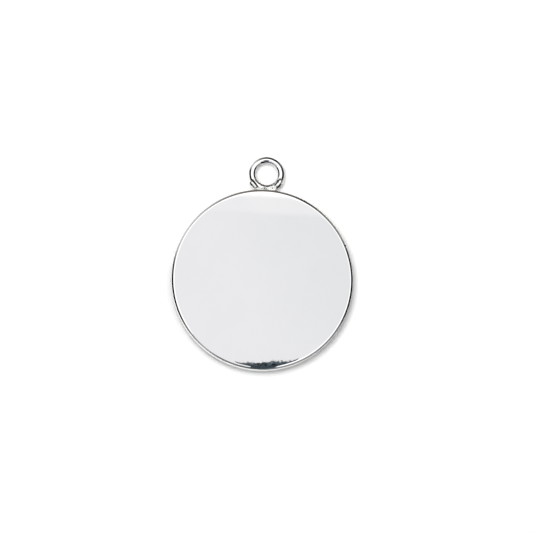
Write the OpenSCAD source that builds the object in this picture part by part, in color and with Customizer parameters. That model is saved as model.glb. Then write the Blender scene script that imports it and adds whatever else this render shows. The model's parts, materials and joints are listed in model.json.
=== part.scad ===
// Round flat pendant in bright silver-plated metal, with a small hanging loop soldered to its rim.
// It lies face up: Z is up, the loop points to +Y, and the origin is the centre of the back face.

/* [Disc] */
// Diameter of the disc
disc_d = 20; // [12:0.5:40]
// Thickness of the disc
disc_t = 2; // [1.6:0.1:4]
// Radius of the wide arc in which the front face rolls off towards the wall
rim_r = 0.42; // [0.2:0.02:0.6]
// Radius of the tight arc between that roll and the wall
edge_r = 0.06; // [0.03:0.01:0.1]
// Radius of the round back rim
back_rim_r = 0.45; // [0.2:0.05:0.6]
// Radius of the slightly barrelled wall, seen in section
wall_r = 8.7; // [4:0.1:20]

/* [Hanging loop] */
// Diameter of the hole through the loop
hole_d = 2.5; // [2:0.1:6]
// Width of the loop's band, from its hole to its outer side
band_w = 0.67; // [0.5:0.01:1.2]
// Height of the band's straight side, between its domed top and bottom
band_flat = 0.32; // [0.2:0.02:0.8]
// Radius of the tight arcs at the band's four edges
band_edge_r = 0.05; // [0.03:0.01:0.1]
// Depth to which the loop's outer side is let into the disc's edge
loop_sink = 0.08; // [0.04:0.01:0.3]

/* [Solder] */
// Height of the solder that fills the two corners between the loop and the disc
solder_h = 0.54; // [0.4:0.02:0.9]
// Radius of the hollow that the solder leaves in each corner
solder_hollow_r = 0.23; // [0.15:0.01:0.4]
// Radius of the bead of solder that ran up the loop's left side
left_bead_r = 0.38; // [0.36:0.02:0.6]
// Length of that bead between its round ends' centres
left_bead_run = 0.55; // [0.2:0.05:0.8]
// Distance of that bead's middle outwards from the middle of the band
left_bead_out = 0.15; // [0:0.01:0.2]
// Direction of that bead, seen from the loop's centre and counted from +X
left_bead_angle = 220; // [200:0.5:240]
// Radius of the bead on the loop's right side
right_bead_r = 0.36; // [0.34:0.02:0.6]
// Length of that bead between its round ends' centres
right_bead_run = 0.5; // [0.2:0.05:0.8]
// Distance of that bead's middle outwards from the middle of the band
right_bead_out = 0.04; // [0:0.01:0.2]
// Direction of that bead, seen from the loop's centre and counted from +X
right_bead_angle = 325; // [300:0.5:340]
// Depth by which the solder's hollows cut past the two round walls, so that they meet at an angle
wetting = 0.02; // [0.01:0.01:0.04]

/* [Wear] */
// Radius of the round nick in the front rim
nick_r = 0.2; // [0.1:0.01:0.4]
// Depth of the nick
nick_depth = 0.1; // [0.04:0.01:0.15]
// Direction of the nick, seen from the disc's centre and counted from +X
nick_angle = 25.3; // [0:0.1:360]

/* [Hidden] */
$fn = 96;

disc_r = disc_d / 2;
mid_z = disc_t / 2;
hole_r = hole_d / 2;
loop_r = hole_r + band_w;
band_mid_r = hole_r + band_w / 2;
loop_y = disc_r + loop_r - loop_sink;

// Centre of the circle of radius r that touches the disc and the loop from outside, on the right
function corner_y(r) = (loop_y * loop_y + pow(disc_r + r, 2) - pow(loop_r + r, 2)) / (2 * loop_y);
function corner_x(r) = sqrt(pow(disc_r + r, 2) - pow(corner_y(r), 2));

// Degrees over which a wide arc falls away before the tight arc takes over, on the disc and on the band
DISC_ROLL = 40;
BAND_ROLL = 35;

// Distance from the axis of an arc of radius r that touches the wall from inside, its centre up from the middle
function touching_wall(r, up) = disc_r - wall_r + sqrt(pow(wall_r - r, 2) - up * up);
// Height from the disc's middle at which that arc takes over from the wall
function wall_end(r, up) = up * wall_r / (wall_r - r);

// Centre of the front rim's tight arc and of the back rim's round, up and down from the disc's middle
edge_up = disc_t / 2 - rim_r + (rim_r - edge_r) * cos(DISC_ROLL);
back_down = disc_t / 2 - back_rim_r;
edge_out = touching_wall(edge_r, edge_up);
back_out = touching_wall(back_rim_r, back_down);
// Radius of the flat part of the front face
flat_r = edge_out - (rim_r - edge_r) * sin(DISC_ROLL);

// Slice of a round shape, from an angle to an angle, both turned from upright towards +X
module slice(r, from, to) {
    intersection() {
        circle(r = r);
        polygon([[0, 0], 2 * r * [sin(from), cos(from)], 2 * r * [sin(to), cos(to)]]);
    }
}

// Half section of the disc: a front face that rolls off to a tight edge, a barrelled wall, a round back rim
module disc_section() {
    square([back_out, mid_z]);
    translate([0, mid_z]) square([flat_r, mid_z]);
    intersection() {
        translate([disc_r - wall_r, mid_z]) circle(r = wall_r);
        translate([back_out / 2, mid_z - wall_end(back_rim_r, back_down)])
            square([disc_r, wall_end(edge_r, edge_up) + wall_end(back_rim_r, back_down)]);
    }
    translate([edge_out, mid_z + edge_up]) circle(r = edge_r);
    translate([flat_r, disc_t - rim_r]) slice(rim_r, 0, DISC_ROLL);
    translate([back_out, back_rim_r]) circle(r = back_rim_r);
}

module disc_blank() {
    rotate_extrude() disc_section();
}

// Section of the loop's band: straight sides, four tight edges, and a dome on its top and bottom
module band_section() {
    reach = band_w / 2 - band_edge_r;
    dome_r = reach / sin(BAND_ROLL) + band_edge_r;
    translate([hole_r, -band_flat / 2]) square([band_w, band_flat]);
    for (side = [-1, 1]) {
        for (out = [-reach, reach])
            translate([band_mid_r + out, side * band_flat / 2]) circle(r = band_edge_r);
        translate([band_mid_r, side * (band_flat / 2 - reach / tan(BAND_ROLL))])
            scale([1, side]) slice(dome_r, -BAND_ROLL, BAND_ROLL);
    }
}

module hanging_loop() {
    translate([0, loop_y, mid_z]) rotate_extrude() band_section();
}

// Outline of the solder in both corners, with its ends buried in the disc and in the band
module solder_outline() {
    x = corner_x(solder_hollow_r);
    y = corner_y(solder_hollow_r);
    root = (disc_r - loop_sink) / (disc_r + solder_hollow_r);
    difference() {
        polygon([[-x, y], [0, loop_y], [x, y], [root * x, root * y], [-root * x, root * y]]);
        translate([0, loop_y]) circle(r = band_mid_r);
        for (side = [-1, 1])
            translate([side * x, y]) circle(r = solder_hollow_r + wetting);
    }
}

module solder_joint() {
    translate([0, 0, mid_z]) linear_extrude(solder_h, center = true) solder_outline();
}

// Bead of solder that lies along the band, kept out of the loop's hole
module solder_bead(r, run, out, angle) {
    difference() {
        translate([0, loop_y, mid_z]) rotate(angle) translate([band_mid_r + out, 0]) {
            rotate([90, 0, 0]) cylinder(r = r, h = run, center = true);
            for (side = [-1, 1])
                translate([0, side * run / 2]) sphere(r = r);
        }
        translate([0, loop_y]) cylinder(r = hole_r + band_w / 4, h = disc_t);
    }
}

// Ball that presses the nick into the front rim, where the wide arc ends
module nick_ball() {
    reach = rim_r + nick_r - nick_depth;
    rotate(nick_angle)
        translate([flat_r + reach * sin(DISC_ROLL), 0, disc_t - rim_r + reach * cos(DISC_ROLL)])
            sphere(r = nick_r);
}

module disc_with_loop() {
    color("silver")
        difference() {
            union() {
                disc_blank();
                hanging_loop();
                solder_joint();
                solder_bead(left_bead_r, left_bead_run, left_bead_out, left_bead_angle);
                solder_bead(right_bead_r, right_bead_run, right_bead_out, right_bead_angle);
            }
            nick_ball();
        }
}

disc_with_loop();
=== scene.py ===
"""Dresses a round flat pendant: one polished, silver-plated blank with a loop soldered to its rim.

The pendant lies on its back on a white ground, under a white light tent that is open at its sides.
The frame gives its main sizes. All lengths are in metres.
"""

import json
import logging
import math
from dataclasses import dataclass
from enum import Enum

import bmesh
import bpy
import numpy as np
from mathutils import Matrix, Vector

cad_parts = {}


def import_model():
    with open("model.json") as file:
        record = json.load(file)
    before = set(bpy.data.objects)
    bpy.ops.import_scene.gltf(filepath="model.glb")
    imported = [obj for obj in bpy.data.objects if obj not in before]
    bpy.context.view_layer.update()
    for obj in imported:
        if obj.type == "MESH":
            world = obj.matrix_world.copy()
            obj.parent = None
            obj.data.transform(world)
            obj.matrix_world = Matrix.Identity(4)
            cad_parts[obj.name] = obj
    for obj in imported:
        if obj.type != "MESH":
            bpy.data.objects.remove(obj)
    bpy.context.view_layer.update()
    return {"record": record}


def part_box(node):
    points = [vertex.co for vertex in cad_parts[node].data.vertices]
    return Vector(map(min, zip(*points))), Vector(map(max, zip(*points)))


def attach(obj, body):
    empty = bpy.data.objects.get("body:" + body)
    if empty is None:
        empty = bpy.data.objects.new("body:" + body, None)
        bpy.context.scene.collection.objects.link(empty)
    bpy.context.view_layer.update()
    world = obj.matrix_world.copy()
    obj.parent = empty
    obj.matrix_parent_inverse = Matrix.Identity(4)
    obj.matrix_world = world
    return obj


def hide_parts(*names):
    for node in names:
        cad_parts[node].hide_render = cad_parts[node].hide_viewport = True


LOG = logging.getLogger("disc_pendant")
MM = 0.001
NODE = "disc_with_loop"
IMAGE_SIDE = 533

# What a node's input takes, and the points of a turned shape by step and section point
Linked = bpy.types.NodeSocket | bpy.types.Node | float | int | tuple | bpy.types.ID
Rows = list[list[bmesh.types.BMVert]]


class Way(Enum):
    """The two flat faces of the blank, by the direction that each one looks in."""

    FRONT = 1
    BACK = -1


def linear(code: str) -> tuple[float, float, float, float]:
    """Turns an sRGB hex value into a linear colour.

    Args:
        code: Six hex digits after a hash.

    Returns:
        Red, green, blue and an alpha of one.
    """
    parts = (int(code[i : i + 2], 16) / 255 for i in (1, 3, 5))
    red, green, blue = (c / 12.92 if c <= 0.04045 else ((c + 0.055) / 1.055) ** 2.4 for c in parts)
    return red, green, blue, 1.0


def add_node(
    tree: bpy.types.NodeTree, kind: str, inputs: dict[str | int, Linked] | None = None, **settings: object
) -> bpy.types.Node:
    """Adds a node with its settings, values and links.

    Args:
        tree: Node tree that receives the node.
        kind: Blender's type name of the node.
        inputs: For each input its value, the output that feeds it, or the node whose first output does.
        settings: Properties of the node.

    Returns:
        The new node.
    """
    node = tree.nodes.new(kind)
    for name, value in settings.items():
        setattr(node, name, value)
    for key, value in (inputs or {}).items():
        if isinstance(value, bpy.types.Node):
            value = value.outputs[0]
        if isinstance(value, bpy.types.NodeSocket):
            tree.links.new(value, node.inputs[key])
        else:
            node.inputs[key].default_value = value
    return node


def clean_tree(owner: bpy.types.Material | bpy.types.World) -> bpy.types.NodeTree:
    """Switches the nodes of a material or a world on and empties them.

    Args:
        owner: The material or the world.

    Returns:
        Its node tree.
    """
    owner.use_nodes = True
    owner.node_tree.nodes.clear()
    return owner.node_tree


def add_object(name: str, data: bpy.types.ID) -> bpy.types.Object:
    """Makes an object and links it to the scene.

    Args:
        name: Name of the object.
        data: Its mesh, light or camera.

    Returns:
        The object.
    """
    made = bpy.data.objects.new(name, data)
    bpy.context.scene.collection.objects.link(made)
    return made


def smooth_union(a: np.ndarray, b: np.ndarray, blend: float) -> np.ndarray:
    """Joins two distance fields, with a soft fillet where they lie less than the blend apart."""
    near = np.maximum(blend - np.abs(a - b), 0) / blend
    return np.minimum(a, b) - near**3 * blend / 6


def smooth_overlap(a: np.ndarray, b: np.ndarray, blend: float) -> np.ndarray:
    """Keeps what two distance fields share, and rounds the edge between them over the blend."""
    return -smooth_union(-a, -b, blend)


def ramp(value: np.ndarray, start: float, end: float) -> np.ndarray:
    """Rises smoothly from 0 where a value is at start to 1 where it is at end."""
    share = np.clip((value - start) / (end - start), 0, 1)
    return share * share * (3 - 2 * share)


def ripples(points: np.ndarray, length: float) -> np.ndarray:
    """Uneven ripples of a hand-worked surface, the same on every run.

    Args:
        points: Places, one row each.
        length: Distance from crest to crest.

    Returns:
        Heights between about -1 and 1.
    """
    # The factors point and stretch four waves so that they don't repeat within the pendant
    x, y, z = points.T * (2 * math.pi / length)
    first = np.sin(0.92 * x + 0.31 * y + 0.4) * np.sin(0.27 * x - 1.04 * y + 0.83 * z + 1.9)
    second = np.sin(0.55 * y + 0.71 * x - 0.9 * z + 2.6) * np.sin(1.21 * x + 0.47 * z - 0.38 * y)
    return 0.6 * first + 0.4 * second


def direction(azimuth: float, zenith: float) -> Vector:
    """Unit vector by its degrees from +X, seen from above, and its degrees from straight up."""
    turn, tip = math.radians(azimuth), math.radians(zenith)
    return Vector((math.sin(tip) * math.cos(turn), math.sin(tip) * math.sin(turn), math.cos(tip)))


@dataclass(frozen=True)
class RolledEdge:
    """Edge that falls away in a wide arc, its crown, and turns into the side in a tight one, its corner.

    The turn is the angle in degrees over which it falls away.
    """

    crown: float
    corner: float
    turn: float = 40.0

    @property
    def inner(self) -> tuple[float, float]:
        """Place of the tight arc's centre, out and up from the wide arc's centre."""
        angle, reach = math.radians(self.turn), self.crown - self.corner
        return reach * math.sin(angle), reach * math.cos(angle)

    @property
    def width(self) -> float:
        """How far the edge reaches in from the side."""
        return self.inner[0] + self.corner

    @property
    def drop(self) -> float:
        """How far the edge reaches down from the top."""
        return self.crown - self.inner[1]

    @classmethod
    def across(cls, width: float, corner: float, turn: float) -> "RolledEdge":
        """Edge of a given width, whose wide arc follows from it."""
        return cls((width - corner) / math.sin(math.radians(turn)) + corner, corner, turn)

    def distance(self, out: np.ndarray, up: np.ndarray) -> np.ndarray:
        """Signed distance to the edge in its section.

        Args:
            out: Distances outwards from the wide arc's centre.
            up: Distances upwards from it.

        Returns:
            Distances, negative inside.
        """
        far, high = self.inner
        reach = self.crown - self.corner
        top = np.where(out < 0, up - reach, np.hypot(out, up) - reach)
        past_out, past_up = out - far, up - high
        point = np.hypot(np.maximum(past_out, 0), np.maximum(past_up, 0))
        side = np.where(np.maximum(past_out, past_up) > 0, point, np.maximum(past_out, past_up))
        on_crown = (out < 0) | (np.arctan2(out, up) < math.radians(self.turn))
        inside = np.maximum(np.maximum(top, past_out), -reach)
        return np.where(on_crown, np.where(top > 0, top, inside), side) - self.corner

    def outline(self, crown_steps: int, corner_steps: int) -> list[tuple[float, float]]:
        """Points from the top round to the side.

        Args:
            crown_steps: Number of pieces of the wide arc.
            corner_steps: Number of pieces of the tight arc.

        Returns:
            Points out and up from the wide arc's centre.
        """
        far, high = self.inner
        wide = [math.radians(self.turn) * i / crown_steps for i in range(crown_steps)]
        rest = math.pi / 2 - math.radians(self.turn)
        tight = [math.radians(self.turn) + rest * i / corner_steps for i in range(corner_steps + 1)]
        points = [(self.crown * math.sin(a), self.crown * math.cos(a)) for a in wide]
        return points + [(far + self.corner * math.sin(a), high + self.corner * math.cos(a)) for a in tight]


@dataclass(frozen=True)
class DiscBlank:
    """Round blank with a rolled front rim, a slightly barrelled wall and a round back rim."""

    radius: float
    thickness: float
    rim: RolledEdge = RolledEdge(crown=0.42 * MM, corner=0.06 * MM, turn=42.0)
    back: RolledEdge = RolledEdge(crown=0.45 * MM, corner=0.45 * MM)
    wall_bulge: float = 0.04 * MM
    flat_margin: float = 0.25 * MM
    margin_steps: int = 2
    crown_steps: int = 9
    corner_steps: int = 4
    wall_steps: int = 21
    turn_steps: int = 1024
    fan_steps: int = 16
    ring_step: float = 1.7

    def set_back(self, height: np.ndarray | float) -> np.ndarray:
        """How far the barrelled wall stands back at a height, growing evenly above and below the wall."""
        share = np.abs(np.asarray(height) - self.thickness / 2) / (self.thickness / 2 - self.rim.drop)
        return self.wall_bulge * np.where(share < 1, share**2, 2 * share - 1)

    def distance(self, points: np.ndarray) -> np.ndarray:
        """Signed distance from each point to the blank.

        Args:
            points: Places, one row each.

        Returns:
            Distances, negative inside.
        """
        height = points[:, 2]
        out = np.hypot(points[:, 0], points[:, 1]) + self.set_back(height) - self.radius
        front = self.rim.distance(out + self.rim.width, height - self.thickness + self.rim.crown)
        back = self.back.distance(out + self.back.width, self.back.crown - height)
        return np.where(height > self.thickness / 2, front, back)

    def section(self) -> list[tuple[float, float]]:
        """Outline of the rim, from the front face round the wall to the back face.

        Returns:
            Points as radius and height.
        """
        sides = []
        for edge in (self.rim, self.back):
            inner = self.radius - edge.width
            shares = [i / self.margin_steps for i in range(self.margin_steps)]
            flat = [(inner - self.flat_margin * (1 - share), 0.0) for share in shares]
            arcs = edge.outline(self.crown_steps, self.corner_steps)
            sides.append(flat + [(inner + out, edge.crown - up) for out, up in arcs])
        front = [(r, self.thickness - z) for r, z in sides[0]]
        step = (self.thickness - 2 * self.rim.drop) / self.wall_steps
        heights = [self.thickness - self.rim.drop - i * step for i in range(1, self.wall_steps)]
        wall = [(self.radius, z) for z in heights if z > self.back.drop]
        return [(r - float(self.set_back(z)), z) for r, z in front + wall + sides[1][::-1]]

    def wall_row(self, up: int) -> int:
        """Row of the section that lies a number of half wall steps above the middle of the wall."""
        first = self.margin_steps + self.crown_steps + self.corner_steps
        return first + (self.wall_steps - up) // 2

    def close_face(self, form: bmesh.types.BMesh, ring: list[bmesh.types.BMVert], way: Way) -> None:
        """Closes a flat face with rings that halve their points towards the centre.

        Each ring is as wide as the step between its points, times the ring step.

        Args:
            form: Mesh that holds the ring.
            ring: The face's outermost points, in order.
            way: Which face it is.
        """
        height = self.thickness if way is Way.FRONT else 0.0
        radius = math.hypot(ring[0].co.x, ring[0].co.y)
        while len(ring) > self.fan_steps:
            radius -= self.ring_step * 2 * math.pi * radius / len(ring)
            inner = []
            for vert in ring[::2]:
                angle = math.atan2(vert.co.y, vert.co.x)
                inner.append(form.verts.new((radius * math.cos(angle), radius * math.sin(angle), height)))
            for i, vert in enumerate(inner):
                left, middle, right = ring[2 * i], ring[2 * i + 1], ring[(2 * i + 2) % len(ring)]
                following = inner[(i + 1) % len(inner)]
                form.faces.new((left, middle, vert))
                form.faces.new((middle, following, vert))
                form.faces.new((middle, right, following))
            ring = inner
        centre = form.verts.new((0, 0, height))
        for i, vert in enumerate(ring):
            form.faces.new((vert, ring[(i + 1) % len(ring)], centre))


@dataclass(frozen=True)
class HangingLoop:
    """Closed ring of pressed wire beside the blank's rim, with an upright axis and a slightly flat top."""

    hole_radius: float
    band_width: float
    band_flat: float
    centre: Vector
    corner: float = 0.03 * MM
    level_width: float = 0.06 * MM
    turn: float = 45.0
    # The band gets lower outwards by the slope, and the ring's upper half is flattened by a share
    slope: float = 0.01
    flattened: float = 0.04
    crown_steps: int = 9
    corner_steps: int = 4
    flat_steps: int = 9
    turn_steps: int = 200
    wobble: float = 0.004 * MM
    wobble_length: float = 1.3 * MM

    @property
    def middle_radius(self) -> float:
        """Radius of the line along the middle of the band."""
        return self.hole_radius + self.band_width / 2

    @property
    def outer_radius(self) -> float:
        """Radius of the loop's outer side."""
        return self.hole_radius + self.band_width

    @property
    def edge(self) -> RolledEdge:
        """Edge that falls away from the level strip along the middle of the band."""
        return RolledEdge.across((self.band_width - self.level_width) / 2, self.corner, self.turn)

    @property
    def height(self) -> float:
        """Height of the band."""
        return self.band_flat + 2 * self.edge.drop

    def polar(self, points: np.ndarray) -> tuple[np.ndarray, np.ndarray]:
        """Place of each point as seen from the loop's centre.

        Args:
            points: Places, one row each.

        Returns:
            Distances from the loop's axis, and degrees counted from the +X direction.
        """
        x, y = points[:, 0] - self.centre.x, points[:, 1] - self.centre.y
        y = np.where(y > 0, y * (1 + self.flattened), y)
        return np.hypot(x, y), np.degrees(np.arctan2(y, x))

    def distance(self, points: np.ndarray) -> np.ndarray:
        """Signed distance from each point to the bare ring.

        Args:
            points: Places, one row each.

        Returns:
            Distances, negative inside.
        """
        out, _ = self.polar(points)
        off = out - self.middle_radius
        up = np.abs(points[:, 2] - self.centre.z) + self.slope * off - (self.height / 2 - self.edge.crown)
        uneven = self.wobble * ripples(points, self.wobble_length)
        return self.edge.distance(np.abs(off) - self.level_width / 2, up) - uneven

    def section(self) -> list[tuple[float, float]]:
        """Closed outline of the band, upwards along its outer side first.

        Returns:
            Points as radius and height.
        """
        edge = self.edge.outline(self.crown_steps, self.corner_steps)
        base = self.height / 2 - self.edge.crown
        points = []
        half_level = self.level_width / 2
        for side in (1, -1):
            for i in range(self.flat_steps):
                up = side * self.band_flat * (i / self.flat_steps - 0.5)
                points.append((self.middle_radius + side * self.band_width / 2, self.centre.z + up))
            rising = [(half_level + out, base + up) for out, up in reversed(edge)]
            falling = [(-half_level - out, base + up) for out, up in edge[:-1]]
            for out, up in rising + falling:
                points.append((self.middle_radius + side * out, self.centre.z + side * up))
        return points

    def outer_row(self, up: int) -> int:
        """Row of the section that lies a number of half steps above the middle of the outer side."""
        return (self.flat_steps + up) // 2 % len(self.section())


@dataclass(frozen=True)
class SolderBead:
    """Straight bead of solder that lies along one side of the loop's band."""

    radius: float
    run: float
    out: float
    angle: float

    def distance(self, points: np.ndarray, loop: HangingLoop) -> np.ndarray:
        """Signed distance from each point to the bead.

        Args:
            points: Places, one row each.
            loop: The loop that carries the bead.

        Returns:
            Distances, negative inside.
        """
        angle = math.radians(self.angle)
        outwards = np.array((math.cos(angle), math.sin(angle), 0))
        along = np.array((-math.sin(angle), math.cos(angle), 0))
        offset = points - np.array(loop.centre) - (loop.middle_radius + self.out) * outwards
        share = np.clip(offset @ along, -self.run / 2, self.run / 2)
        return np.linalg.norm(offset - share[:, None] * along, axis=1) - self.radius


@dataclass(frozen=True)
class DarkStreak:
    """Painted dark line on top of the loop, for dark reflection and crease shade, with its ends counted
    from the loop's centre.
    """

    start: tuple[float, float]
    end: tuple[float, float]
    half_width: float
    soft: float = 0.03 * MM
    taper: float = 0.5

    def share(self, points: np.ndarray, loop: HangingLoop) -> np.ndarray:
        """How much of the streak each point shows.

        Args:
            points: Places, one row each.
            loop: The loop that carries the streak.

        Returns:
            Shares from 0 to 1.
        """
        start, line = np.array(self.start), np.array(self.end) - np.array(self.start)
        offset = points[:, :2] - np.array(loop.centre)[:2] - start
        along = np.clip(offset @ line / (line @ line), 0, 1)
        away = np.linalg.norm(offset - along[:, None] * line, axis=1)
        width = self.half_width * (1 - self.taper * np.abs(2 * along - 1) ** 3)
        on_top = ramp(points[:, 2], loop.centre.z, loop.centre.z + loop.band_flat / 2)
        return on_top * ramp(away, width + self.soft, width - self.soft)


@dataclass(frozen=True)
class SolderJoint:
    """Solder in the corners between the blank and the loop, with its beads, coat and painted dark streaks.
    """

    disc: DiscBlank
    loop: HangingLoop
    left_bead: SolderBead = SolderBead(radius=0.36 * MM, run=0.55 * MM, out=0.28 * MM, angle=223.5)
    right_bead: SolderBead = SolderBead(radius=0.36 * MM, run=0.55 * MM, out=0.12 * MM, angle=325.0)
    # Ends and half width of each painted dark streak, which stand for dark reflections and crease shade:
    # two beside the left bead, three beside the right one, one at the band's inner top edge, and one at the
    # ring's closed seam
    streaks: tuple[DarkStreak, ...] = tuple(
        DarkStreak((x * MM, y * MM), (to_x * MM, to_y * MM), half_width * MM)
        for x, y, to_x, to_y, half_width in (
            (-1.57, -0.72, -0.89, -1.57, 0.1),
            (-1.7, -1.23, -1.53, -1.4, 0.08),
            (1.55, -0.41, 0.9, -1.37, 0.075),
            (1.21, -0.64, 1.33, -0.95, 0.06),
            (1.69, -1.07, 1.15, -1.67, 0.085),
            (-0.69, 1.2, -0.2, 1.27, 0.11),
            (-0.17, -1.62, -0.13, -1.68, 0.06),
        )
    )
    height: float = 0.54 * MM
    hollow_radius: float = 0.23 * MM
    softness: float = 0.12 * MM
    coat: float = 0.02 * MM
    # Degrees round the loop between which solder coats it, and over which the coat thins out at both ends
    coat_from: float = -150.0
    coat_to: float = -30.0
    coat_edge: float = 5.0
    ripple: float = 0.014 * MM
    ripple_length: float = 0.55 * MM
    pit_radius: float = 0.09 * MM
    pit_angle: float = -95.7

    @property
    def corner(self) -> tuple[float, float]:
        """Centre of the circle that touches the blank and the loop from outside, on the right.

        Returns:
            Its place on the X and the Y axis.
        """
        far, near = self.disc.radius + self.hollow_radius, self.loop.outer_radius + self.hollow_radius
        y = (self.loop.centre.y**2 + far**2 - near**2) / (2 * self.loop.centre.y)
        return math.sqrt(far**2 - y**2), y

    def web(self, points: np.ndarray) -> np.ndarray:
        """Signed distance to the solder that fills the two corners.

        Args:
            points: Places, one row each.

        Returns:
            Distances, negative inside.
        """
        corner_x, corner_y = self.corner
        x, y = np.abs(points[:, 0]) - corner_x, points[:, 1] - corner_y
        from_disc = Vector((corner_y, -corner_x)).normalized()
        from_loop = Vector((self.loop.centre.y - corner_y, corner_x)).normalized()
        out, _ = self.loop.polar(points)
        flat = np.maximum.reduce(
            [
                self.hollow_radius - np.hypot(x, y),
                from_disc.x * x + from_disc.y * y,
                from_loop.x * x + from_loop.y * y,
                self.loop.middle_radius - out,
            ]
        )
        up = np.abs(points[:, 2] - self.loop.centre.z) - self.height / 2
        return smooth_overlap(flat, up, self.softness)

    def beads(self, points: np.ndarray) -> np.ndarray:
        """Signed distance from each point to the nearer of the two beads."""
        left = self.left_bead.distance(points, self.loop)
        return np.minimum(left, self.right_bead.distance(points, self.loop))

    def painted_dark(self, points: np.ndarray) -> np.ndarray:
        """How much painted dark streak each point shows, from 0 to 1."""
        return np.maximum.reduce([streak.share(points, self.loop) for streak in self.streaks])

    def coated(self, points: np.ndarray) -> np.ndarray:
        """How far each point of the loop lies in the stretch that solder ran over.

        Args:
            points: Places, one row each.

        Returns:
            Shares from 0 to 1.
        """
        _, angle = self.loop.polar(points)
        start = ramp(angle, self.coat_from, self.coat_from + self.coat_edge)
        return start * ramp(angle, self.coat_to, self.coat_to - self.coat_edge)

    def pit(self, points: np.ndarray) -> np.ndarray:
        """Signed distance to the pinhole at the ring's closed seam.

        Args:
            points: Places, one row each.

        Returns:
            Distances, negative inside.
        """
        angle = math.radians(self.pit_angle)
        place = self.loop.centre + self.loop.middle_radius * Vector((math.cos(angle), math.sin(angle), 0))
        place.z += self.loop.height / 2
        return np.linalg.norm(points - np.array(place), axis=1) - self.pit_radius


@dataclass(frozen=True)
class RimNick:
    """Small round nick knocked into the front rim."""

    disc: DiscBlank
    radius: float = 0.2 * MM
    depth: float = 0.1 * MM
    angle: float = 25.3
    # Painted dark spot in the nick: distances at which it begins and is full
    spot_from: float = 0.22 * MM
    spot_to: float = 0.14 * MM

    def place(self, reach: float) -> np.ndarray:
        """Place over or in the nick, on the line that the nick was knocked along.

        Args:
            reach: Distance from the centre of the rim's wide arc.

        Returns:
            The place.
        """
        rim = self.disc.rim
        angle, turn = math.radians(self.angle), math.radians(rim.turn)
        inner = self.disc.radius - rim.width - float(self.disc.set_back(self.disc.thickness))
        out = inner + reach * math.sin(turn)
        up = self.disc.thickness - rim.crown + reach * math.cos(turn)
        return np.array((out * math.cos(angle), out * math.sin(angle), up))

    def distance(self, points: np.ndarray) -> np.ndarray:
        """Signed distance from each point to the ball that presses the nick."""
        centre = self.place(self.disc.rim.crown + self.radius - self.depth)
        return np.linalg.norm(points - centre, axis=1) - self.radius

    def dark_spot(self, points: np.ndarray) -> np.ndarray:
        """How much painted dark each point shows, from 0 to 1 deep in the nick."""
        bottom = self.place(self.disc.rim.crown - self.depth)
        return ramp(np.linalg.norm(points - bottom, axis=1), self.spot_from, self.spot_to)


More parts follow.
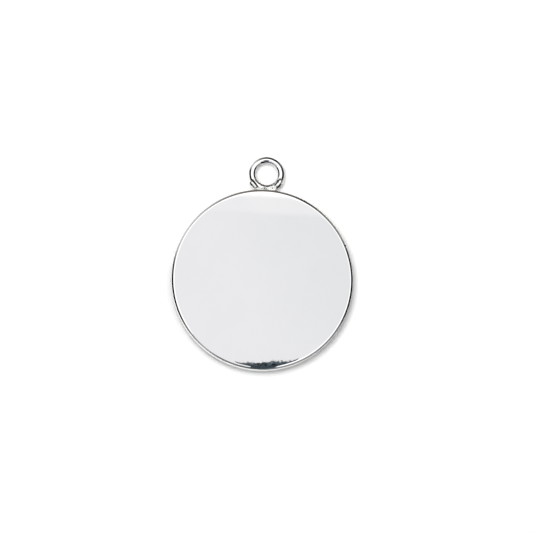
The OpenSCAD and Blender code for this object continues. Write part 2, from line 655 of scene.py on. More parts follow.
@dataclass(frozen=True)
class SectionTurner:
    """Geometry Nodes that turn a section about an upright axis, for the blank's rim and the loop."""

    name: str = "turned section"

    def tree(self) -> bpy.types.NodeTree:
        """Builds the node tree with its named inputs.

        Returns:
            The tree, which ends in Realize Instances and Set Material.
        """
        tree = bpy.data.node_groups.new(self.name, "GeometryNodeTree")
        for name, kind in (
            ("Section", "NodeSocketObject"),
            ("Path Radius", "NodeSocketFloat"),
            ("Turn Steps", "NodeSocketInt"),
            ("Centre", "NodeSocketVector"),
            ("Finish", "NodeSocketMaterial"),
        ):
            tree.interface.new_socket(name, in_out="INPUT", socket_type=kind)
        tree.interface.new_socket("Geometry", in_out="OUTPUT", socket_type="NodeSocketGeometry")
        given = add_node(tree, "NodeGroupInput").outputs
        drawn = add_node(tree, "GeometryNodeObjectInfo", {"Object": given["Section"]}).outputs["Geometry"]
        outline = add_node(tree, "GeometryNodeMeshToCurve", {"Mesh": drawn})
        inwards = add_node(tree, "ShaderNodeMath", {0: 0.0, 1: given["Path Radius"]}, operation="SUBTRACT")
        shift = add_node(tree, "ShaderNodeCombineXYZ", {"X": inwards})
        turned_over = {"Geometry": outline, "Translation": shift, "Scale": (1.0, -1.0, 1.0)}
        placed = add_node(tree, "GeometryNodeTransform", turned_over)
        round_way = {"Radius": given["Path Radius"], "Resolution": given["Turn Steps"]}
        path = add_node(tree, "GeometryNodeCurvePrimitiveCircle", round_way)
        swept = add_node(tree, "GeometryNodeCurveToMesh", {"Curve": path, "Profile Curve": placed})
        moved = {"Geometry": swept, "Translation": given["Centre"]}
        centred = add_node(tree, "GeometryNodeTransform", moved)
        real = add_node(tree, "GeometryNodeRealizeInstances", {0: centred})
        dressed = add_node(tree, "GeometryNodeSetMaterial", {0: real, "Material": given["Finish"]})
        add_node(tree, "NodeGroupOutput", {0: dressed})
        return tree

    def turn(
        self,
        section: list[tuple[float, float]],
        closed: bool,
        steps: int,
        centre: Vector,
        finish: bpy.types.Material,
    ) -> tuple[bpy.types.Mesh, list[list[int]]]:
        """Turns one section into a plain mesh.

        Args:
            section: Points of the section as radius and height.
            closed: Whether the section's last point joins its first.
            steps: Number of copies of the section round the axis.
            centre: Place of the axis on the ground.
            finish: Material of the mesh.

        Returns:
            The mesh, and for each step the vertex numbers in the section's order.
        """
        count = len(section)
        drawing = bpy.data.meshes.new("section")
        edges = [(i, (i + 1) % count) for i in range(count if closed else count - 1)]
        drawing.from_pydata([(r, z, 0) for r, z in section], edges, [])
        drawn = bpy.data.objects.new("section", drawing)
        host = add_object("turned", bpy.data.meshes.new("turned"))
        tree = self.tree()
        modifier = host.modifiers.new("turned", "NODES")
        modifier.node_group = tree
        sockets = {s.name: s.identifier for s in tree.interface.items_tree if s.in_out == "INPUT"}
        modifier[sockets["Section"]] = drawn
        modifier[sockets["Path Radius"]] = section[0][0]
        modifier[sockets["Turn Steps"]] = steps
        modifier[sockets["Centre"]] = centre
        modifier[sockets["Finish"]] = finish
        graph = bpy.context.evaluated_depsgraph_get()
        mesh = bpy.data.meshes.new_from_object(host.evaluated_get(graph))
        first = [mesh.vertices[i].co - centre for i in range(count)]
        rows = []
        for radius, height in section:
            away = [(at.x - radius) ** 2 + (at.z - height) ** 2 for at in first]
            rows.append(away.index(min(away)))
        bpy.data.objects.remove(host)
        bpy.data.objects.remove(drawn)
        bpy.data.node_groups.remove(tree)
        return mesh, [[i * count + row for row in rows] for i in range(steps)]


@dataclass(frozen=True)
class SilverPlate:
    """Bright silver electroplate over polished brass, from a tumbled and buffed blank.

    The polish reflects the tent like a mirror, the plate's faint orange peel frays the edges of what
    it reflects, and heat left the solder duller and olive at the foot. Streaks beside the beads and on the
    loop are painted dark for dark reflections and crease shade, and a spot deep in the nick is painted
    dark. Painted shade darkens the wall at the lower left, for the shade at its foot, and the loop's outer
    edge, for the dark that it reflects.
    """

    bright: str = "#f8f8f7"
    cloudy: str = "#f4f4f4"
    solder_bright: str = "#f1f2ee"
    solder_stain: str = "#aeaa88"
    # Painted dark, for streaks of dark reflection and crease shade and for a spot deep in the nick
    painted_dark: str = "#191615"
    # Painted shade, on the wall's lower left and the loop's outer edge
    painted_shade: str = "#2f3031"
    polish: float = 0.006
    solder_roughness: float = 0.08
    # Real buffing lines are a few micrometres wide and real peel less than a tenth of a millimetre across.
    # Both are too fine to show, so they are drawn as coarse as they need to be to show
    peel_size: float = 0.3 * MM
    peel_height: float = 0.00003 * MM
    cloud_size: float = 3.2 * MM
    cloud_height: float = 0.00015 * MM
    stain_size: float = 0.5 * MM
    hairline_size: float = 0.05 * MM
    hairline_height: float = 0.000002 * MM
    hairline_turn: float = 0.6
    hairline_shrink: float = 0.03

    def colour(
        self, tree: bpy.types.NodeTree, shares: dict[str, Linked], clouds: Linked, stains: Linked
    ) -> Linked:
        """Adds the nodes that colour the plate and the solder, and that paint the shade and the dark
        streaks.

        Args:
            tree: The material's node tree.
            shares: How much of each mark shows, by its name.
            clouds: Slow unevenness of the plate.
            stains: Unevenness of the solder's stain.

        Returns:
            The colour.
        """
        spots = add_node(tree, "ShaderNodeMath", {0: stains, 1: shares["stain"]}, operation="MULTIPLY")
        colour, solder = (
            add_node(
                tree, "ShaderNodeMix", {0: share, 6: linear(one), 7: linear(other)}, data_type="RGBA"
            ).outputs[2]
            for share, one, other in (
                (clouds, self.bright, self.cloudy),
                (spots, self.solder_bright, self.solder_stain),
            )
        )
        # Solder is laid over the plate, then painted shade, then painted dark
        for name, over in (
            ("solder", solder),
            ("painted_shade", linear(self.painted_shade)),
            ("painted_dark", linear(self.painted_dark)),
        ):
            inputs = {0: shares[name], 6: colour, 7: over}
            colour = add_node(tree, "ShaderNodeMix", inputs, data_type="RGBA").outputs[2]
        return colour

    def relief(self, tree: bpy.types.NodeTree, clouds: Linked, peel: Linked, hairlines: Linked) -> Linked:
        """Adds the nodes that bend what the polish reflects.

        Args:
            tree: The material's node tree.
            clouds: Slow unevenness of the plate.
            peel: Its orange peel.
            hairlines: Its buffing lines.

        Returns:
            The node that gives the normal.
        """
        normal: dict[str, Linked] = {}
        for pattern, height in (
            (clouds, self.cloud_height),
            (peel, self.peel_height),
            (hairlines, self.hairline_height),
        ):
            inputs = {"Strength": 1.0, "Distance": height, "Height": pattern, **normal}
            normal = {"Normal": add_node(tree, "ShaderNodeBump", inputs)}
        return normal["Normal"]

    def material(self) -> bpy.types.Material:
        """Builds the plated finish.

        Returns:
            The material.
        """
        material = bpy.data.materials.new("bright silver electroplate")
        tree = clean_tree(material)
        place = add_node(tree, "ShaderNodeTexCoord").outputs["Object"]
        # The last two attributes hold painted dark and painted shade
        shares = {
            name: add_node(tree, "ShaderNodeAttribute", attribute_name=name).outputs["Fac"]
            for name in ("solder", "stain", "painted_dark", "painted_shade")
        }
        lengthwise = {
            "Vector": place,
            "Rotation": (0.0, 0.0, self.hairline_turn),
            "Scale": (1.0, self.hairline_shrink, 1.0),
        }
        stretched = add_node(tree, "ShaderNodeMapping", lengthwise)
        clouds, peel, hairlines, stains = (
            add_node(tree, "ShaderNodeTexNoise", {"Vector": where, "Scale": 1 / size, "Detail": detail})
            for where, size, detail in (
                (place, self.cloud_size, 2.0),
                (place, self.peel_size, 1.5),
                (stretched, self.hairline_size, 1.0),
                (place, self.stain_size, 3.0),
            )
        )
        gloss = {"Value": shares["solder"], "To Min": self.polish, "To Max": self.solder_roughness}
        metal = {
            "Base Color": self.colour(tree, shares, clouds, stains),
            "Metallic": 1.0,
            "Roughness": add_node(tree, "ShaderNodeMapRange", gloss),
            "Normal": self.relief(tree, clouds, peel, hairlines),
        }
        shader = add_node(tree, "ShaderNodeBsdfPrincipled", metal)
        add_node(tree, "ShaderNodeOutputMaterial", {"Surface": shader})
        return material


@dataclass(frozen=True)
class Pendant:
    """The whole pendant: blank, loop and solder as one body of metal, with its wear and painted shade."""

    disc: DiscBlank
    loop: HangingLoop
    solder: SolderJoint
    nick: RimNick
    foot_blend: float = 0.1 * MM
    solder_blend: float = 0.2 * MM
    bead_blend: float = 0.06 * MM
    wear_blend: float = 0.03 * MM
    patch_columns: int = 22
    patch_rows: int = 13
    strip_steps: int = 7
    # How far the points that are evened out reach sideways, into the blank and past its rim, how far they
    # stay away from the front rim's edge, and how much of the way to their neighbours' middle they move
    relax_half: float = 1.9 * MM
    relax_in: float = 0.35 * MM
    relax_past: float = 0.9 * MM
    relax_margin: float = 0.05 * MM
    relax_pull: float = 0.5
    relax_rounds: int = 40
    settle_rounds: int = 5
    # Limits on one step towards the surface, and the distance over which its slope is measured
    longest_move: float = 0.05 * MM
    least_slope: float = 0.1
    slope_step: float = 0.002 * MM
    dull_reach: float = 0.1 * MM
    stain_from: float = 0.5 * MM
    stain_to: float = 0.15 * MM
    # Heights at which the painted shade on the wall, which stands for the shade at its foot, begins and is
    # full, how much shows where it is full, and the degrees round the blank at which it begins, is full,
    # begins to fade and ends
    wall_shade_from: float = 1.5 * MM
    wall_shade_to: float = 1.05 * MM
    wall_shade: float = 0.75
    wall_arc: tuple[float, float, float, float] = (150.0, 190.0, 235.0, 278.0)
    # How much painted shade shows along the loop, for the dark that its outer edge reflects, and the shares
    # of the band's width, out from its middle, at which it begins and is full
    edge_shade: float = 0.9
    edge_from: float = 0.18
    edge_to: float = 0.34
    # Degrees round the loop of the middle of the stretch left without painted shade, and how far it reaches
    unshaded_angle: float = 135.0
    unshaded_from: float = 45.0
    unshaded_to: float = 12.0

    @classmethod
    def from_frame(cls, record: dict) -> "Pendant":
        """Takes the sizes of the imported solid.

        Args:
            record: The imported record, which holds the hole's mount.

        Returns:
            A pendant of the same size and place.
        """
        _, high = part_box(NODE)
        hole = next(m for m in record["mounts"] if m["name"] == "loop_hole")
        centre = Vector(hole["pos_m"])
        hole_radius = hole["dims"]["r_mm"] * MM
        disc = DiscBlank(radius=high[0], thickness=high[2])
        loop = HangingLoop(
            hole_radius=hole_radius,
            band_width=high[1] - centre.y - hole_radius,
            band_flat=hole["dims"]["length_mm"] * MM,
            centre=centre,
        )
        return cls(disc, loop, SolderJoint(disc, loop), RimNick(disc))

    def ring(self, points: np.ndarray) -> np.ndarray:
        """Signed distance from each point to the loop with its coat of solder."""
        uneven = self.solder.coat + self.solder.ripple * ripples(points, self.solder.ripple_length)
        return self.loop.distance(points) - self.solder.coated(points) * uneven

    def distance(self, points: np.ndarray) -> np.ndarray:
        """Signed distance from each point to the finished metal.

        Args:
            points: Places, one row each.

        Returns:
            Distances, negative inside.
        """
        metal = smooth_union(self.disc.distance(points), self.ring(points), self.foot_blend)
        metal = smooth_union(metal, self.solder.web(points), self.solder_blend)
        metal = smooth_union(metal, self.solder.beads(points), self.bead_blend)
        out, _ = self.loop.polar(points)
        metal = smooth_overlap(metal, self.loop.hole_radius - out, self.wear_blend)
        metal = smooth_overlap(metal, -self.nick.distance(points), self.wear_blend)
        return smooth_overlap(metal, -self.solder.pit(points), self.wear_blend)

    def outward(self, points: np.ndarray) -> np.ndarray:
        """Direction in which the distance grows, by central differences.

        Args:
            points: Places, one row each.

        Returns:
            Gradients, one row each.
        """
        step = self.slope_step
        sides = []
        for axis in np.eye(3) * step:
            sides.append((self.distance(points + axis) - self.distance(points - axis)) / (2 * step))
        return np.stack(sides, axis=1)

    def settle(self, points: np.ndarray, rounds: int) -> np.ndarray:
        """Moves points onto the metal's surface.

        Args:
            points: Places, one row each.
            rounds: Number of steps towards the surface.

        Returns:
            The moved points.
        """
        for _ in range(rounds):
            slope = self.outward(points)
            move = self.distance(points) / np.maximum((slope**2).sum(axis=1), self.least_slope)
            points = points - np.clip(move, -self.longest_move, self.longest_move)[:, None] * slope
        return points

    def facing(
        self, cells: list[tuple[int, int]], disc_rows: Rows, loop_rows: Rows
    ) -> tuple[list[bmesh.types.BMVert], list[bmesh.types.BMVert]]:
        """Finds the points of the wall and of the loop that face each other at the loop's foot.

        Args:
            cells: Steps sideways and half steps upwards from the middle of the foot.
            disc_rows: Points of the blank's rim, by step and section point.
            loop_rows: Points of the loop, by step and section point.

        Returns:
            A point of the wall and one of the loop for each cell.
        """
        top, foot = self.disc.turn_steps // 4, 3 * self.loop.turn_steps // 4
        wall = [disc_rows[top - x][self.disc.wall_row(z)] for x, z in cells]
        ring = [loop_rows[foot + x][self.loop.outer_row(z)] for x, z in cells]
        return wall, ring

    def open_patch(self, form: bmesh.types.BMesh, patch: set[bmesh.types.BMVert]) -> None:
        """Removes the faces whose points all lie in a patch, and the points that this leaves loose.

        Args:
            form: Mesh to open.
            patch: The patch's points, with those of its border.
        """
        doomed = {face for vert in patch for face in vert.link_faces if patch.issuperset(face.verts)}
        bmesh.ops.delete(form, geom=list(doomed), context="FACES_ONLY")
        bmesh.ops.delete(form, geom=[v for v in patch if not v.link_faces], context="VERTS")

    def mesh(self, turner: SectionTurner, finish: bpy.types.Material) -> bpy.types.Mesh:
        """Builds the pendant's closed mesh.

        Args:
            turner: Maker of the two turned shapes.
            finish: Material of the metal.

        Returns:
            The finished mesh.
        """
        rim, disc_rows = turner.turn(self.disc.section(), False, self.disc.turn_steps, Vector(), finish)
        at = Vector((self.loop.centre.x, self.loop.centre.y, 0))
        ring, loop_rows = turner.turn(self.loop.section(), True, self.loop.turn_steps, at, finish)
        form = bmesh.new()
        form.from_mesh(rim)
        form.from_mesh(ring)
        every = list(form.verts)
        offset = len(rim.vertices)
        rim_points = [[every[number] for number in row] for row in disc_rows]
        loop_points = [[every[offset + number] for number in row] for row in loop_rows]
        for way, column in ((Way.FRONT, 0), (Way.BACK, -1)):
            self.disc.close_face(form, [row[column] for row in rim_points], way)
        self.join_foot(form, rim_points, loop_points)
        bmesh.ops.recalc_face_normals(form, faces=form.faces)
        for face in form.faces:
            face.smooth = True
        mesh = bpy.data.meshes.new("silver_pendant")
        form.to_mesh(mesh)
        form.free()
        mesh.materials.append(finish)
        return mesh

    def join_foot(self, form: bmesh.types.BMesh, disc_rows: Rows, loop_rows: Rows) -> None:
        """Opens the wall and the loop where they meet, and joins the openings with a strip.

        Args:
            form: Mesh that holds both shapes.
            disc_rows: Points of the blank's rim, by step and section point.
            loop_rows: Points of the loop, by step and section point.
        """
        wide, high = self.patch_columns, self.patch_rows
        corners = [(-wide, -high), (wide, -high), (wide, high), (-wide, high)]
        border = []
        for (x, z), (next_x, next_z) in zip(corners, corners[1:] + corners[:1]):
            steps = max(abs(next_x - x), abs(next_z - z) // 2)
            border += [(x + (next_x - x) * i // steps, z + (next_z - z) * i // steps) for i in range(steps)]
        from_wall, from_ring = self.facing(border, disc_rows, loop_rows)
        cells = [(x, z) for x in range(-wide, wide + 1) for z in range(-high, high + 1, 2)]
        for patch in self.facing(cells, disc_rows, loop_rows):
            self.open_patch(form, set(patch))
        rows = [from_wall]
        for i in range(1, self.strip_steps):
            share = i / self.strip_steps
            rows.append([form.verts.new(a.co.lerp(b.co, share)) for a, b in zip(from_wall, from_ring)])
        rows.append(from_ring)
        for near, far in zip(rows, rows[1:]):
            for i in range(len(near)):
                following = (i + 1) % len(near)
                form.faces.new((near[i], near[following], far[following], far[i]))

    def relax(self, mesh: bpy.types.Mesh) -> None:
        """Evens out the points round the foot and lays every point on the metal's surface.

        Args:
            mesh: The closed mesh.
        """
        count = len(mesh.vertices)
        points = np.empty(count * 3)
        mesh.vertices.foreach_get("co", points)
        points = points.reshape(-1, 3)
        edges = np.empty(len(mesh.edges) * 2, dtype=int)
        mesh.edges.foreach_get("vertices", edges)
        start, end = edges.reshape(-1, 2).T
        degree = np.bincount(edges, minlength=count)[:, None]
        out, _ = self.loop.polar(points)
        half = self.disc.thickness / 2
        x, y, z = points.T
        free = (
            (np.abs(x) < self.relax_half)
            & (y > self.disc.radius - self.relax_in)
            & (y < self.disc.radius + self.relax_past)
            & (np.abs(z - half) < half - (self.disc.rim.drop + self.relax_margin))
            & (out > self.loop.hole_radius + self.loop.band_width / 3)
        )
        for _ in range(self.relax_rounds):
            total = np.zeros_like(points)
            np.add.at(total, start, points[end])
            np.add.at(total, end, points[start])
            points[free] += self.relax_pull * (total[free] / degree[free] - points[free])
            points[free] = self.settle(points[free], 1)
        points = self.settle(points, self.settle_rounds)
        mesh.vertices.foreach_set("co", points.ravel())
        mesh.update()
        slope = self.outward(points)
        normals = slope / np.linalg.norm(slope, axis=1)[:, None]
        mesh.normals_split_custom_set_from_vertices(normals.tolist())
        for name, shares in self.marks(points).items():
            mesh.attributes.new(name, "FLOAT", "POINT").data.foreach_set("value", shares.astype(np.float32))

    def painted_shading(self, points: np.ndarray) -> np.ndarray:
        """How much painted shade each point shows.

        It is low on the wall at the lower left, for the shade at its foot, and on top of the loop along its
        outer edge, for the dark that the edge reflects, though not at the loop's upper left.

        Args:
            points: Places on the surface, one row each.

        Returns:
            Shares from 0 to 1.
        """
        on_disc = ramp(self.disc.distance(points), self.wear_blend, 0)
        out = np.hypot(points[:, 0], points[:, 1]) - self.disc.radius
        on_wall = on_disc * ramp(out, -self.disc.back.width, -self.disc.back.width / 2)
        round_disc = np.degrees(np.arctan2(points[:, 1], points[:, 0])) % 360
        begins, full, fades, ends = self.wall_arc
        lower_left = ramp(round_disc, begins, full) * ramp(round_disc, ends, fades)
        wall = lower_left * on_wall * ramp(points[:, 2], self.wall_shade_from, self.wall_shade_to)
        from_axis, round_loop = self.loop.polar(points)
        off = from_axis - self.loop.middle_radius
        on_ring = ramp(self.loop.distance(points), 2 * self.wear_blend, self.wear_blend)
        dome = self.loop.centre.z + self.loop.band_flat / 2
        on_dome = on_ring * ramp(points[:, 2], dome - self.wear_blend, dome + self.wear_blend)
        width = self.loop.band_width
        edges = on_dome * ramp(off, self.edge_from * width, self.edge_to * width)
        unshaded = ramp(np.abs(round_loop - self.unshaded_angle), self.unshaded_from, self.unshaded_to)
        return np.maximum(self.wall_shade * wall, self.edge_shade * edges * (1 - unshaded))

    def marks(self, points: np.ndarray) -> dict[str, np.ndarray]:
        """How much each point shows of the solder's dullness, its stain, painted dark and painted shade.

        Args:
            points: Places on the surface, one row each.

        Returns:
            Shares from 0 to 1 by name.
        """
        solder = np.minimum(self.solder.web(points), self.solder.beads(points))
        foot = self.loop.centre.y - self.loop.middle_radius
        from_foot = np.hypot(points[:, 0], points[:, 1] - foot)
        return {
            "solder": ramp(solder, self.dull_reach, 0),
            "stain": ramp(from_foot, self.stain_from, self.stain_to),
            # Painted dark streaks and nick spot, then painted shade
            "painted_dark": np.maximum(self.solder.painted_dark(points), self.nick.dark_spot(points)),
            "painted_shade": self.painted_shading(points),
        }

    def build(self) -> bpy.types.Object:
        """Makes the pendant's piece, hangs it on the root body and hides the imported solid.

        Returns:
            The finished object.
        """
        mesh = self.mesh(SectionTurner(), SilverPlate().material())
        self.relax(mesh)
        piece = add_object("silver_pendant", mesh)
        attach(piece, "root")
        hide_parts(NODE)
        return piece


@dataclass(frozen=True)
class Ground:
    """White matt card that the pendant lies on."""

    side: float = 2.0
    drop: float = 0.01 * MM
    white: str = "#f3f3f2"
    tone: str = "#efefef"
    grain: float = 0.4 * MM

    def material(self) -> bpy.types.Material:
        """Builds the card's matt finish.

        Returns:
            The material.
        """
        material = bpy.data.materials.new("matt white card")
        tree = clean_tree(material)
        place = add_node(tree, "ShaderNodeTexCoord").outputs["Object"]
        grain = add_node(tree, "ShaderNodeTexNoise", {"Vector": place, "Scale": 1 / self.grain})
        tones = {0: grain, 6: linear(self.white), 7: linear(self.tone)}
        colour = add_node(tree, "ShaderNodeMix", tones, data_type="RGBA").outputs[2]
        shader = add_node(tree, "ShaderNodeBsdfDiffuse", {"Color": colour})
        add_node(tree, "ShaderNodeOutputMaterial", {"Surface": shader})
        return material

    def build(self) -> bpy.types.Object:
        """Lays the card just under the pendant.

        Returns:
            The card.
        """
        half = self.side / 2
        mesh = bpy.data.meshes.new("white_card")
        corners = [(-half, -half), (half, -half), (half, half), (-half, half)]
        mesh.from_pydata([(x, y, -self.drop) for x, y in corners], [], [(0, 1, 2, 3)])
        mesh.materials.append(self.material())
        card = add_object("white_card", mesh)
        return card


@dataclass(frozen=True)
class RoofPanel:
    """Panel of the tent's roof that spreads out behind a straight front edge.

    It is placed on the plane of the pendant's flat face, where the lens sees it mirrored. The middle of
    its front edge is at x and y, and the edge slopes by the tilt. Behind it the panel spreads and drifts
    sideways by those shares of the way back, and it fades out over the last part of its reach.
    """

    x: float
    y: float
    half_width: float
    spread: float
    drift: float
    tilt: float
    reach: float
    soft: float
    fray: float = 0.0
    fray_size: float = 0.4 * MM
    fades_at: float = 0.8

    def share(self, tree: bpy.types.NodeTree, place: Linked) -> bpy.types.NodeSocket:
        """Adds the nodes that tell how far a place lies in the panel.

        Args:
            tree: The world's node tree.
            place: Place on the plane of the flat face.

        Returns:
            Share from 0 to 1.
        """
        middle = (self.x, self.y, 0.0)
        offset = add_node(tree, "ShaderNodeVectorMath", {0: place, 1: middle}, operation="SUBTRACT")
        past, aside = (
            add_node(
                tree, "ShaderNodeVectorMath", {0: offset, 1: axis}, operation="DOT_PRODUCT"
            ).outputs["Value"]
            for axis in ((self.tilt, -1.0, 0.0), (1 - self.drift * self.tilt, self.drift, 0.0))
        )
        grain = {"Vector": place, "Scale": 1 / self.fray_size, "Detail": 3.0}
        rough = add_node(tree, "ShaderNodeTexNoise", grain)
        level = add_node(tree, "ShaderNodeMath", {0: rough, 1: 0.5}, operation="SUBTRACT")
        frayed, half = (
            add_node(tree, "ShaderNodeMath", {0: value, 1: factor, 2: added}, operation="MULTIPLY_ADD")
            for value, factor, added in ((level, self.fray, past), (past, self.spread, self.half_width))
        )
        off = add_node(tree, "ShaderNodeMath", {0: aside}, operation="ABSOLUTE")
        within = add_node(tree, "ShaderNodeMath", {0: half, 1: off}, operation="SUBTRACT")
        share: Linked = 1.0
        for value, start, end in (
            (frayed, -self.soft, self.soft),
            (within, -self.soft, self.soft),
            (past, self.reach, self.fades_at * self.reach),
        ):
            inputs = {"Value": value, "From Min": start, "From Max": end, "To Max": share}
            share = add_node(tree, "ShaderNodeMapRange", inputs, interpolation_type="SMOOTHSTEP").outputs[0]
        return share


@dataclass(frozen=True)
class LightTent:
    """White tent lit from outside: a grey board round the lens, a dark slit, and open, darker sides.

    The board is lighter along its front lip, and light comes through the slit in flecks. The eye is the
    lens, and the level is the height of the pendant's flat face.
    """

    eye: Vector
    level: float
    roof: str = "#ffffff"
    roof_light: float = 1.3
    board: RoofPanel = RoofPanel(
        x=0.0,
        y=9.35 * MM,
        half_width=11.5 * MM,
        spread=0.6,
        drift=-0.45,
        tilt=0.0,
        reach=600 * MM,
        soft=0.5 * MM,
    )
    board_tone: str = "#f2f2f5"
    board_shade: str = "#ecedef"
    board_lip: str = "#f6f6f8"
    lip_from: float = 7.0 * MM
    lip_to: float = 7.7 * MM
    shade_way: tuple[float, float] = (0.9, 0.45)
    shade_from: float = -4 * MM
    shade_to: float = 10 * MM
    slit: RoofPanel = RoofPanel(
        x=0.9 * MM,
        y=-9.07 * MM,
        half_width=3.6 * MM,
        spread=0.14,
        drift=0.06,
        tilt=0.105,
        reach=530 * MM,
        soft=0.06 * MM,
        fray=0.7 * MM,
        fray_size=0.3 * MM,
    )
    slit_tone: str = "#15191c"
    slit_light: str = "#57646d"
    slit_grain: float = 0.25 * MM
    fleck_from: float = 0.42
    fleck_to: float = 0.62
    # Degrees from straight up between which the roof gives way to the sides
    sides_from: float = 27.0
    sides_to: float = 32.0
    # Light that the camera sees past the card
    backdrop: float = 1.0
    # Least climb of a direction, so that its place on the face's plane stays finite
    least_climb: float = 0.02

    def mirrored(self, tree: bpy.types.NodeTree, way: Linked, climb: Linked) -> bpy.types.Node:
        """Adds the nodes that place a direction on the face's plane, where the lens sees it mirrored.

        Args:
            tree: The world's node tree.
            way: The direction.
            climb: Its upward part.

        Returns:
            The node that gives the place.
        """
        rise = add_node(tree, "ShaderNodeMath", {0: climb, 1: self.least_climb}, operation="MAXIMUM")
        length = add_node(tree, "ShaderNodeMath", {0: self.eye.z - self.level, 1: rise}, operation="DIVIDE")
        ray = add_node(tree, "ShaderNodeVectorMath", {0: way, "Scale": length}, operation="SCALE")
        start = (self.eye.x, self.eye.y, 0.0)
        return add_node(tree, "ShaderNodeVectorMath", {0: ray, 1: start}, operation="ADD")

    def build(self) -> bpy.types.World:
        """Builds the tent as the scene's world.

        Returns:
            The world.
        """
        world = bpy.data.worlds.new("light tent")
        tree = clean_tree(world)
        way = add_node(tree, "ShaderNodeTexCoord").outputs["Generated"]
        x, y, z = add_node(tree, "ShaderNodeSeparateXYZ", {0: way}).outputs
        place = self.mirrored(tree, way, z)
        shade_axis = (*self.shade_way, 0.0)
        across = add_node(tree, "ShaderNodeVectorMath", {0: place, 1: shade_axis}, operation="DOT_PRODUCT")
        forwards = add_node(tree, "ShaderNodeSeparateXYZ", {0: place}).outputs["Y"]
        angle = add_node(tree, "ShaderNodeMath", {0: z}, operation="ARCCOSINE")
        grain = add_node(tree, "ShaderNodeTexNoise", {"Vector": place, "Scale": 1 / self.slit_grain})
        shade, lip, low, fleck = (
            add_node(
                tree,
                "ShaderNodeMapRange",
                {"Value": value, "From Min": first, "From Max": last},
                interpolation_type="SMOOTHSTEP",
            )
            for value, first, last in (
                (across.outputs["Value"], self.shade_from, self.shade_to),
                (forwards, self.lip_from, self.lip_to),
                (angle, math.radians(self.sides_from), math.radians(self.sides_to)),
                (grain, self.fleck_from, self.fleck_to),
            )
        )
        board: Linked = linear(self.board_tone)
        for share, tone in ((shade, self.board_shade), (lip, self.board_lip)):
            inputs = {0: share, 6: board, 7: linear(tone)}
            board = add_node(tree, "ShaderNodeMix", inputs, data_type="RGBA").outputs[2]
        flecked = {0: fleck, 6: linear(self.slit_tone), 7: linear(self.slit_light)}
        slit = add_node(tree, "ShaderNodeMix", flecked, data_type="RGBA").outputs[2]
        seen: Linked = tuple(c * self.roof_light for c in linear(self.roof)[:3]) + (1.0,)
        for share, over in (
            (self.board.share(tree, place), board),
            (low, self.sides(tree, x, y)),
            (self.slit.share(tree, place), slit),
        ):
            inputs = {0: share, 6: seen, 7: over}
            seen = add_node(tree, "ShaderNodeMix", inputs, data_type="RGBA").outputs[2]
        tent = add_node(tree, "ShaderNodeBackground", {"Color": seen})
        plain = add_node(tree, "ShaderNodeBackground", {"Color": (self.backdrop,) * 3 + (1.0,)})
        direct = add_node(tree, "ShaderNodeLightPath").outputs["Is Camera Ray"]
        either = add_node(tree, "ShaderNodeMixShader", {0: direct, 1: tent, 2: plain})
        add_node(tree, "ShaderNodeOutputWorld", {"Surface": either})
        bpy.context.scene.world = world
        return world

    def sides(self, tree: bpy.types.NodeTree, x: Linked, y: Linked) -> bpy.types.Node:
        """Adds the nodes that give the light of the tent's sides.

        Args:
            tree: The world's node tree.
            x: Part of a direction along the X axis.
            y: Its part along the Y axis.

        Returns:
            The node that gives the light.
        """
        # Degrees from +X, positive towards +Y, and the light there
        tones = (
            (-180, "#040404"),
            (-165, "#0c0c0c"),
            (-157, "#444444"),
            (-150, "#7c7c7c"),
            (-141, "#969696"),
            (-129, "#b0b0b0"),
            (-117, "#767676"),
            (-101, "#707070"),
            (-93, "#4c545a"),
            (-80, "#4c545a"),
            (-70, "#8c9296"),
            (-62, "#959595"),
            (-27, "#868686"),
            (-17, "#6c6c6c"),
            (-11, "#161616"),
            (-6, "#040404"),
            (12, "#040404"),
            (20, "#3c3c3c"),
            (29, "#303030"),
            (37, "#8b8b8b"),
            (55, "#73706c"),
            (63, "#302c2a"),
            (71, "#645e5a"),
            (88, "#706a66"),
            (104, "#7c7874"),
            (114, "#9e9e9e"),
            (123, "#bcbcbc"),
            (142, "#d2d2d2"),
            (152, "#bcbcbc"),
            (162, "#3f3f3f"),
            (170, "#141414"),
            (180, "#040404"),
        )
        turn = add_node(tree, "ShaderNodeMath", {0: y, 1: x}, operation="ARCTAN2")
        whole = {0: turn, 1: 0.5 / math.pi, 2: 0.5}
        azimuth = add_node(tree, "ShaderNodeMath", whole, operation="MULTIPLY_ADD")
        light = add_node(tree, "ShaderNodeValToRGB", {0: azimuth})
        marks = light.color_ramp.elements
        while len(marks) > 1:
            marks.remove(marks[-1])
        marks[0].position = 0.0
        marks[0].color = linear(tones[0][1])
        for degrees, code in tones[1:]:
            marks.new((degrees + 180) / 360).color = linear(code)
        return light


@dataclass(frozen=True)
class SoftBox:
    """Round soft box that faces the pendant and doesn't show in its polish."""

    azimuth: float
    zenith: float
    distance: float
    across: float
    power: float

    def build(self) -> bpy.types.Object:
        """Hangs the soft box, facing the pendant.

        Returns:
            The light.
        """
        data = bpy.data.lights.new("soft box", "AREA")
        data.shape = "DISK"
        data.size = self.across
        data.energy = self.power
        light = add_object("soft box", data)
        way = direction(self.azimuth, self.zenith)
        turned = way.to_track_quat("Z", "Y").to_matrix().to_4x4()
        light.matrix_world = Matrix.Translation(way * self.distance) @ turned
        light.visible_glossy = False
        return light


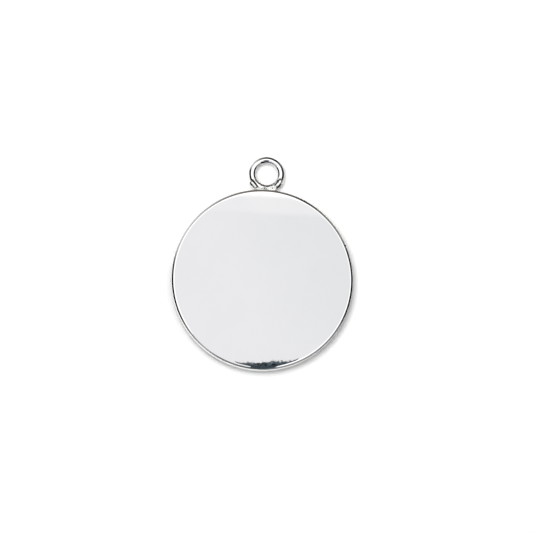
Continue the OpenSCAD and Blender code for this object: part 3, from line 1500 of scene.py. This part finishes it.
# The key hangs at the upper left and throws the short shadow, and the fill overhead lightens that shadow
KEY = SoftBox(azimuth=162.0, zenith=13.0, distance=0.3, across=0.13, power=0.58)
FILL = SoftBox(azimuth=0.0, zenith=0.0, distance=0.4, across=0.5, power=0.42)


@dataclass(frozen=True)
class View:
    """Camera almost straight above, a little towards the pendant's lower left."""

    distance: float = 600 * MM
    sensor: float = 36.0
    pixel: float = 0.1095 * MM
    # Pixels from the image's left and upper side to the centre of the front rim
    disc_across: float = 262.35
    disc_down: float = 279.55
    zenith: float = 8.7
    azimuth: float = -115.5
    lean: float = 2.5
    nearest: float = 0.01

    def build(self, face: Vector) -> bpy.types.Object:
        """Places the camera.

        Args:
            face: Centre of the front rim's outline.

        Returns:
            The camera.
        """
        back = direction(self.azimuth, self.zenith)
        lean = math.radians(self.lean)
        right = Vector((-math.sin(lean), math.cos(lean), 0)).cross(back).normalized()
        up = back.cross(right)
        middle = IMAGE_SIDE / 2
        aim = face + ((middle - self.disc_across) * right + (self.disc_down - middle) * up) * self.pixel
        data = bpy.data.cameras.new("camera")
        data.sensor_width = self.sensor
        data.lens = self.sensor * self.distance / (IMAGE_SIDE * self.pixel)
        data.clip_start = self.nearest
        camera = add_object("camera", data)
        turned = Matrix((right, up, back)).transposed().to_4x4()
        camera.matrix_world = Matrix.Translation(aim + self.distance * back) @ turned
        bpy.context.scene.camera = camera
        return camera


def main() -> None:
    """Builds the pendant and its plain studio round the frame."""
    logging.basicConfig(level=logging.INFO, format="%(message)s")
    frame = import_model()
    bpy.context.scene.view_settings.view_transform = "Standard"
    pendant = Pendant.from_frame(frame["record"])
    camera = View().build(Vector((0, 0, pendant.disc.thickness - pendant.disc.rim.drop)))
    piece = pendant.build()
    LOG.info("%s: %d faces", piece.name, len(piece.data.polygons))
    Ground().build()
    LightTent(eye=camera.matrix_world.translation.copy(), level=pendant.disc.thickness).build()
    for box in (KEY, FILL):
        box.build()
    LOG.info("studio: card, tent and two soft boxes")


if __name__ == "__main__":
    main()
